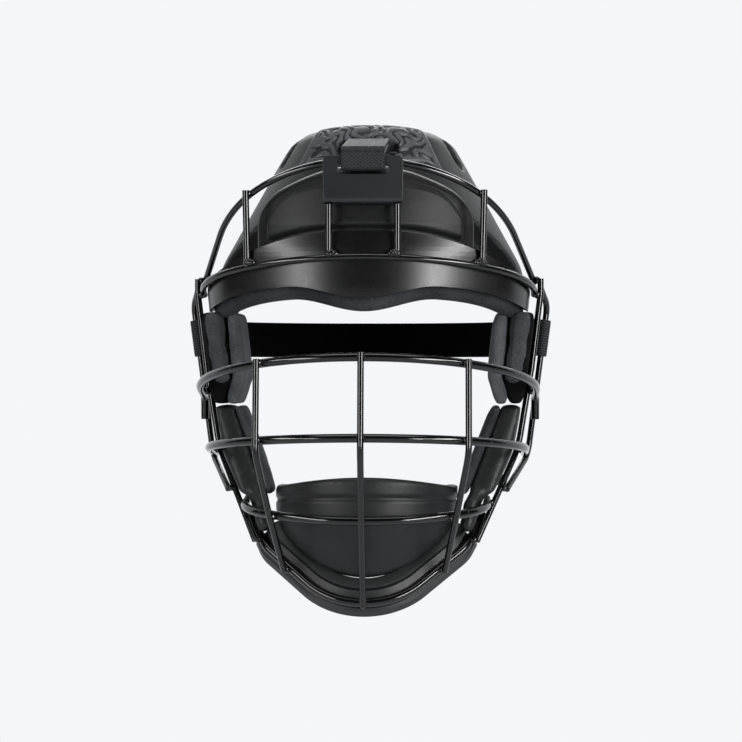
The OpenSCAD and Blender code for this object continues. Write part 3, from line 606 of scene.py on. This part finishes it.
chin_pad = new_object("chin_pad_foam", pad_mesh(
    "chin_pad_foam", chin_place, (-chin_reach, chin_reach), chin_edges, chin_t, chin_rim,
    chin_relief, 1.2))
chin_pad.data.materials.append(pad_skin)
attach(chin_pad, "cage")
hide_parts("chin_pad")

# ---- Crown pad ----
# A 13 mm shell of moulded foam over the top of the head, hung from the top strap by a bar in
# its pocket. Slots are cut through its shoulders, and a band across its front is embossed.

# The shell's skin is soft black. Its embossed front panel is drawn much greyer and a little shinier,
# so the ridges stand out; the grey there is painted sheen.
crown_skin = faced_foam("moulded foam skin soft black", "#08090a", "#151617", 0.5, 0.7, 0.3, 0.42, 0.07)
panel_skin_painted_sheen = faced_foam(
    "foam skin with painted sheen on the panel", "#2b2c2e", "#4a4b4e", 0.46, 0.7, 0.2, 0.6, 0.25)
panel_z, panel_half, panel_tall = 104, 41, 38
border_rise, ridge_rise, ground_sink = 0.8, 1.0, 0.3


def crown_emboss(x, y, z):
    """Generic winding ridges on the front band, inside a plain raised border."""
    up = z - panel_z + max(0.0, y + 6)
    edge = min(panel_half - 0.3 * up - abs(x), up, panel_tall - up)
    if edge < -2.5:
        return 0.0
    border = border_rise * math.exp(-((edge + 0.4) / 0.8) ** 2)
    wind = 3.2 * noise.noise(Vector((x / 11, up / 11, 4))) + 0.16 * abs(x) - 0.1 * up
    ridge = 1 - abs(math.sin(2.1 * wind))
    inside = smooth_step((edge - 1) / 1.6)
    return border + inside * (ridge_rise * smooth_step(ridge * 1.8) - ground_sink)


def finer_where(mesh, wanted, cuts):
    """Cuts the faces that lie in one region smaller."""
    work = bmesh.new()
    work.from_mesh(mesh)
    for _ in range(cuts):
        near = [e for e in work.edges if all(wanted(v.co / MM) for v in e.verts)]
        bmesh.ops.subdivide_edges(work, edges=near, cuts=1, use_grid_fill=True, smooth=0.0)
    work.to_mesh(mesh)
    work.free()


crown_pressure = 2
crown_growth = 0.4 * MM
crown_pad = stuffed("crown_pad_foam", "crown_pad", 2.0 * MM, crown_pressure, crown_growth)
finer_where(crown_pad.data, lambda c: abs(c.x) < panel_half + 3 and c.z > panel_z - 3 and c.y < 24, 1)
corners = corners_of(crown_pad.data)
outward = np.array([v.normal for v in crown_pad.data.vertices])
raised = np.array([
    crown_emboss(*(c / MM)) if n[1] < -0.1 or n[2] > 0.3 else 0.0
    for c, n in zip(corners, outward)])
place_corners(crown_pad.data, corners + outward * raised[:, None] * MM)
crown_pad.data.shade_smooth()
crown_pad.data.materials.append(crown_skin)
crown_pad.data.materials.append(panel_skin_painted_sheen)
# Faces that the emboss raises take the panel skin, whose grey is painted sheen.
for face in crown_pad.data.polygons:
    face.material_index = int(max(raised[i] for i in face.vertices) > 0.02)
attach(crown_pad, "crown")
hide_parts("crown_pad")

# Moulded nylon: an even satin black, seen only inside the pocket of the crown pad.
bar_plastic = moulded_plastic("moulded nylon black rod", "#0e0e0f", "#161718", 0.4, 1.0, 0.2)
dress(["crown_bar"], bar_plastic)

# ---- Top strap, rear strap and side loops ----
# The top strap is 25 mm nylon webbing in a closed loop through the plate and round the bar in
# the crown pad. The rear strap is 22 mm elastic, sewn to a webbing loop on each strap wire.


def rounded_line(points, radii, closed=False, turns=8):
    """Points of a line with its corners turned to the given radii."""
    count, made = len(points), []
    for i, (point, r) in enumerate(zip(points, radii)):
        point = Vector(point)
        if r == 0 or (not closed and i in (0, count - 1)):
            made.append(point)
            continue
        back = (point - Vector(points[i - 1])).normalized()
        on = (Vector(points[(i + 1) % count]) - point).normalized()
        angle = back.angle(on)
        axis = back.cross(on).normalized()
        start = point - back * r * math.tan(angle / 2)
        centre = start + axis.cross(back) * r
        steps = max(turns, round(r * angle / 2))
        for k in range(steps + 1):
            made.append(centre + Matrix.Rotation(angle * k / steps, 3, axis) @ (start - centre))
    return [p * MM for p in made]


webbing_tree, given, result = new_tree("webbing along a line", {
    "Width": "Float", "Thickness": "Float", "Face": "Vector", "Finish": "Material"})
line = add_node(webbing_tree, "GeometryNodeMeshToCurve", {"Mesh": given.outputs["Geometry"]})
line = add_node(webbing_tree, "GeometryNodeResampleCurve", {
    "Curve": line.outputs[0], "Length": 0.0011}, mode="LENGTH")
line = add_node(webbing_tree, "GeometryNodeSetCurveNormal", {
    "Curve": line.outputs[0], "Normal": given.outputs["Face"]}, mode="FREE")
length = add_node(webbing_tree, "GeometryNodeSplineParameter")
line = add_node(webbing_tree, "GeometryNodeStoreNamedAttribute", {
    "Geometry": line.outputs[0], "Name": "run", "Value": length.outputs["Length"]}, domain="POINT")
section = add_node(webbing_tree, "GeometryNodeCurvePrimitiveQuadrilateral", {
    "Width": given.outputs["Width"], "Height": given.outputs["Thickness"]})
half = add_node(webbing_tree, "ShaderNodeMath", {
    0: given.outputs["Thickness"], 1: 0.42}, operation="MULTIPLY")
section = add_node(webbing_tree, "GeometryNodeFilletCurve", {
    "Curve": section.outputs[0], "Radius": half.outputs[0], "Count": 4}, mode="POLY")
section = add_node(webbing_tree, "GeometryNodeResampleCurve", {
    "Curve": section.outputs[0], "Length": 0.0009}, mode="LENGTH")
spot = add_node(webbing_tree, "GeometryNodeInputPosition")
spot = add_node(webbing_tree, "ShaderNodeSeparateXYZ", {0: spot.outputs[0]})
section = add_node(webbing_tree, "GeometryNodeStoreNamedAttribute", {
    "Geometry": section.outputs[0], "Name": "across", "Value": spot.outputs["X"]}, domain="POINT")
strip = add_node(webbing_tree, "GeometryNodeCurveToMesh", {
    "Curve": line.outputs[0], "Profile Curve": section.outputs[0], "Fill Caps": True})
strip = add_node(webbing_tree, "GeometryNodeSetShadeSmooth", {"Geometry": strip.outputs[0]})
strip = add_node(webbing_tree, "GeometryNodeRealizeInstances", {"Geometry": strip.outputs[0]})
strip = add_node(webbing_tree, "GeometryNodeSetMaterial", {
    "Geometry": strip.outputs[0], "Material": given.outputs["Finish"]})
webbing_tree.links.new(strip.outputs[0], result.inputs[0])


def webbing(name, points, closed, width, thick, face, material):
    """Webbing of one width along a line, whose width lies along face."""
    count = len(points)
    edges = [(i, (i + 1) % count) for i in range(count if closed else count - 1)]
    return grow(name, points_mesh(name, points, edges), webbing_tree, {
        "Width": width * MM, "Thickness": thick * MM, "Face": face, "Finish": material})


def woven(name, dark, light, rib_mm, yarn_mm, slant, yarn_share, depth, gleam, sheen):
    """Woven tape: slanting ribs across it every rib_mm, and yarns along it every yarn_mm."""
    material, tree, surface = new_material(
        name, IOR=1.5, Roughness=0.62, Sheen_Weight=sheen, Sheen_Roughness=0.35,
        Specular_IOR_Level=gleam)
    run = add_node(tree, "ShaderNodeAttribute", attribute_name="run").outputs["Fac"]
    across = add_node(tree, "ShaderNodeAttribute", attribute_name="across").outputs["Fac"]
    lean = add_node(tree, "ShaderNodeMath", {0: across, 1: slant, 2: run}, operation="MULTIPLY_ADD")
    back = add_node(tree, "ShaderNodeMath", {0: across, 1: -slant, 2: run}, operation="MULTIPLY_ADD")
    waves = []
    for value, pitch in ((lean, rib_mm), (back, rib_mm)):
        turn = add_node(tree, "ShaderNodeMath", {
            0: value.outputs[0], 1: 2 * math.pi / (pitch * MM)}, operation="MULTIPLY")
        waves.append(add_node(tree, "ShaderNodeMath", {0: turn.outputs[0]}, operation="SINE"))
    turn = add_node(tree, "ShaderNodeMath", {
        0: across, 1: 2 * math.pi / (yarn_mm * MM)}, operation="MULTIPLY")
    yarn = add_node(tree, "ShaderNodeMath", {0: turn.outputs[0]}, operation="SINE")
    crossed = add_node(tree, "ShaderNodeMath", {
        0: waves[0].outputs[0], 1: waves[1].outputs[0]}, operation="MAXIMUM")
    weave = add_node(tree, "ShaderNodeMix", {
        0: yarn_share, 2: crossed.outputs[0], 3: yarn.outputs[0]})
    height = add_node(tree, "ShaderNodeMapRange", {0: weave.outputs[0], 1: -0.9, 2: 1.0})
    # The crests take the light colour and the hollows the dark one: painted highlight on the crests,
    # painted shade in the hollows.
    colour = add_node(tree, "ShaderNodeMix", {
        0: height.outputs[0], 6: linear(dark), 7: linear(light)}, data_type="RGBA")
    bump = add_node(tree, "ShaderNodeBump", {
        "Height": height.outputs[0], "Strength": depth, "Distance": 0.0004})
    tree.links.new(colour.outputs[2], surface.inputs["Base Color"])
    tree.links.new(bump.outputs[0], surface.inputs["Normal"])
    return material


# Nylon webbing has crossed ribs, elastic is flat and very dark, and the loops have plain ribs. The
# crests of the ribs are drawn lighter than the hollows: painted highlight and painted shade.
# Real ribs are 1.0 to 1.3 mm apart, drawn a little coarser to show.
nylon_tape = woven("nylon webbing black", "#020202", "#27282a", 1.9, 1.5, 0.75, 0.26, 1.0, 0.3, 0.04)
knit_elastic = woven("woven elastic black", "#010101", "#030303", 1.0, 0.9, 0.0, 0.26, 0.5, 0.02, 0.0)
loop_tape = woven(
    "nylon webbing ribbed black", "#030304", "#343538", 1.8, 1.5, 0.0, 0.85, 1.0, 0.3, 0.03)

strap_loop = [
    (-83.17, 104.4), (-9.5, 115.6), (0.31, 107), (-4.9, 102.1), (-12.8, 112.4), (-74.05, 102),
    (-74.05, 92.2), (-83.17, 92.2)]
strap_bends = [2, 3, 3.1, 3.1, 3, 3, 2, 2]
tape_w, tape_t = 25, 1.5
top_strap = webbing(
    "top_strap_webbing", rounded_line([(0, y, z) for y, z in strap_loop], strap_bends, True),
    True, tape_w, tape_t, (1, 0, 0), nylon_tape)
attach(top_strap, "cage")
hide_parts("top_strap")

strap_r, strap_z, crown_y = 88.5, -2.6, 30.0
inside_wing = 36.0
rear_turn = strap_r - (inside_wing - crown_y) - 0.01
elastic_w, elastic_t = 22, 1.8
loop_at = Vector((104.23, 9.891, strap_z))
loop_end = Vector((strap_r, 22, strap_z))
rear_line = rounded_line(
    [(strap_r, inside_wing, strap_z), (strap_r, crown_y + strap_r, strap_z),
     (-strap_r, crown_y + strap_r, strap_z), (-strap_r, inside_wing, strap_z)],
    [0, rear_turn, rear_turn, 0])
rear_strap = webbing(
    "rear_strap_elastic", rear_line, False, elastic_w, elastic_t, (0, 0, 1), knit_elastic)
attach(rear_strap, "crown")
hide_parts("rear_strap")
end_w, end_t = 21.6, 1.7  # the stretch in front of the crown's wing is pulled a little narrower
loop_w, loop_t, loop_r = 22, 1.2, 2.9
for side, sign in (("left", -1), ("right", 1)):
    start = loop_at + (loop_end - loop_at).normalized() * 5
    line = rounded_line([start, loop_end, (strap_r, inside_wing, strap_z)], [0, 10, 0])
    stretch = webbing(
        f"{side}_strap_end_elastic", [Vector((sign * p.x, p.y, p.z)) for p in line], False,
        end_w, end_t, (0, 0, 1), knit_elastic)
    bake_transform(stretch)
    wire_way = Vector((0.13, 0.0055, 0.9915)).normalized()
    loop_way = (loop_end - loop_at).cross(wire_way)
    loop_way = wire_way.cross(loop_way).normalized()
    loop_side = wire_way.cross(loop_way)
    ring = [(11, 1.2)] + [
        (loop_r * math.cos(t), loop_r * math.sin(t))
        for t in np.radians(np.linspace(25, 335, 30))] + [(11, -1.2)]
    line = [(loop_at + loop_way * u + loop_side * v) * MM for u, v in ring]
    loop = webbing(
        f"{side}_side_loop_webbing", [Vector((sign * p.x, p.y, p.z)) for p in line], False,
        loop_w, loop_t, (sign * wire_way.x, wire_way.y, wire_way.z), loop_tape)
    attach(loop, f"{side}_side_loop")
    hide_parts(f"{side}_side_loop")

# ---- Studio ----
# A pale floor and backdrop, two tall softboxes at 45 degrees to the camera's line, one overhead
# and one behind. The camera stands 1.5 m away, a little to the right of the middle and level
# with the eye opening.


def matt_paper(name, colour, unshaded):
    """Background paper, of which the camera sees this share in its own colour, unshaded."""
    material, tree, surface = new_material(name, Roughness=0.9, Base_Color=linear(colour))
    light = add_node(tree, "ShaderNodeLightPath")
    seen = add_node(tree, "ShaderNodeMath", {
        0: light.outputs["Is Camera Ray"], 1: light.outputs["Is Glossy Ray"]}, operation="MAXIMUM")
    seen = add_node(tree, "ShaderNodeMath", {
        0: seen.outputs[0], 1: light.outputs["Is Transmission Ray"]}, operation="MAXIMUM")
    seen = add_node(tree, "ShaderNodeMath", {0: seen.outputs[0], 1: unshaded}, operation="MULTIPLY")
    glow = add_node(tree, "ShaderNodeEmission", {"Color": linear(colour), "Strength": 1.0})
    mixed = add_node(tree, "ShaderNodeMixShader", {
        0: seen.outputs[0], 1: surface.outputs[0], 2: glow.outputs[0]})
    tree.links.new(mixed.outputs[0], tree.nodes["Material Output"].inputs["Surface"])
    return material


def sheet_of_paper(name, corners, material):
    mesh = bpy.data.meshes.new(name)
    mesh.from_pydata(corners, [], [(0, 1, 2, 3)])
    mesh.materials.append(material)
    made = new_object(name, mesh)
    return made


floor_z, wall_y, half_room = -0.6, 2.1, 6.0
# Matt paper: an even pale grey without gleam. The floor keeps a share of its shading, so that a
# shadow shows on it, and the backdrop keeps none.
sheet_of_paper("floor", [
    (-half_room, -half_room, floor_z), (half_room, -half_room, floor_z),
    (half_room, wall_y, floor_z), (-half_room, wall_y, floor_z)],
    matt_paper("paper floor", "#e6e7ea", 0.8))
sheet_of_paper("backdrop", [
    (-half_room, wall_y, floor_z), (half_room, wall_y, floor_z),
    (half_room, wall_y, half_room), (-half_room, wall_y, half_room)],
    matt_paper("paper backdrop", "#f5f6f8", 1.0))


def softbox(name, place, target, wide, tall, watts):
    lamp = bpy.data.lights.new(name, "AREA")
    lamp.shape, lamp.size, lamp.size_y, lamp.energy = "RECTANGLE", wide, tall, watts
    made = bpy.data.objects.new(name, lamp)
    made.location = place
    made.rotation_euler = (Vector(target) - Vector(place)).to_track_quat("-Z", "Z").to_euler()
    bpy.context.scene.collection.objects.link(made)
    return made


middle = (0, -0.02, -0.02)
softbox("left softbox", (-1.2, -1.12, 0.32), middle, 0.26, 1.4, 15)
softbox("right softbox", (1.2, -1.12, 0.32), middle, 0.26, 1.4, 28)
softbox("top softbox", (0, -0.35, 1.35), middle, 1.3, 0.7, 8)
softbox("back softbox", (0, 1.3, 1.0), middle, 1.6, 0.6, 14)

fill_level = 0.08  # what the world adds to the light; the camera sees it as white paper
world = bpy.data.worlds.new("studio")
world.use_nodes = True
light = add_node(world.node_tree, "ShaderNodeLightPath")
level = add_node(world.node_tree, "ShaderNodeMapRange", {
    0: light.outputs["Is Camera Ray"], 3: fill_level, 4: 1.0})
background = world.node_tree.nodes["Background"]
background.inputs["Color"].default_value = linear("#f5f6f8")
world.node_tree.links.new(level.outputs[0], background.inputs["Strength"])
bpy.context.scene.world = world
bpy.context.scene.view_settings.view_transform = "Standard"

camera_turn, camera_away = math.radians(2.5), 1.5
lens = bpy.data.cameras.new("camera")
lens.sensor_width, lens.lens = 36.0, 36.0 * 2500 / 742
lens.clip_end = 20.0
camera = bpy.data.objects.new("camera", lens)
camera.location = (
    0.001 + camera_away * math.sin(camera_turn), -camera_away * math.cos(camera_turn), -0.0224)
camera.rotation_euler = (math.radians(90), 0, camera_turn)
bpy.context.scene.collection.objects.link(camera)
bpy.context.scene.camera = camera
